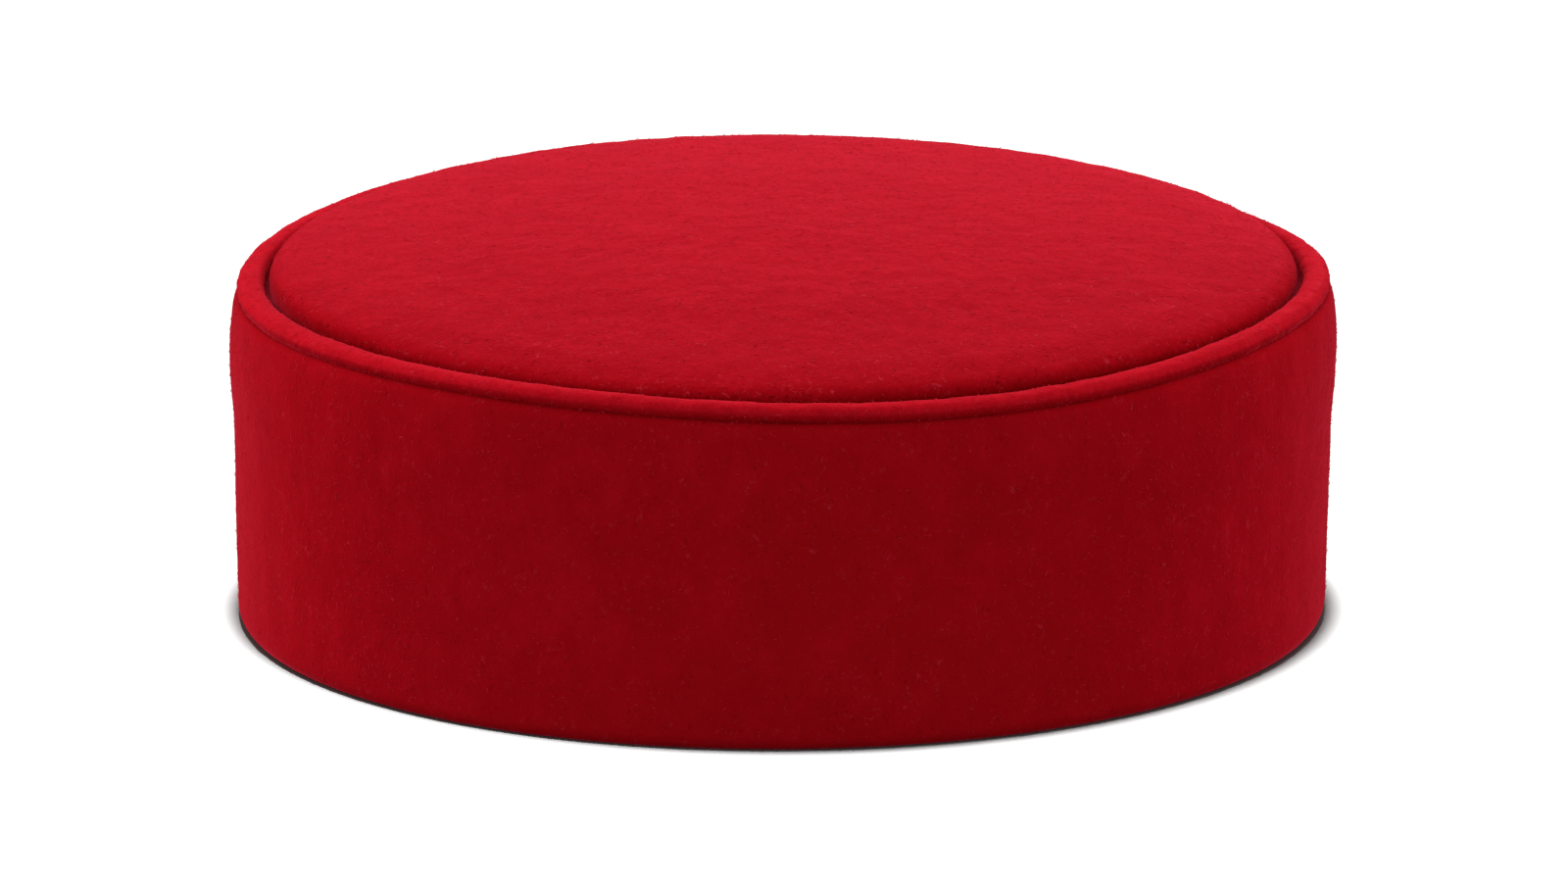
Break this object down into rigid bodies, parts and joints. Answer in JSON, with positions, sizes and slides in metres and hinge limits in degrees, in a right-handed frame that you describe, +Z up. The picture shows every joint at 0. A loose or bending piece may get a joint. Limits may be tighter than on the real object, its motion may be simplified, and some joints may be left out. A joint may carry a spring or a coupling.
{
  "type": "pillbox hat",
  "caption": "Round brimless hat in thick red wool felt, with an upright side band, a round felt welt and a gently crowned tip, hollow below for the head.",
  "frame": {"origin": "centre of the rim's resting plane, at the middle of the bounding box's bottom face", "axes": "+Z up through the centre of the tip, -Y towards the front, +X to the wearer's left as seen from the front"},
  "size_m": [0.1922, 0.194, 0.0685],
  "materials": {
    "band_felt": "thick red wool felt with a soft short nap, matte",
    "welt_felt": "the same red wool felt, rolled round into a bead, matte",
    "tip_felt": "thick red wool felt, blocked smooth with a soft short nap, matte"
  },
  "bodies": {
    "root": {"side_band": "band_felt", "welt": "welt_felt", "tip": "tip_felt"}
  },
  "joints": []
}
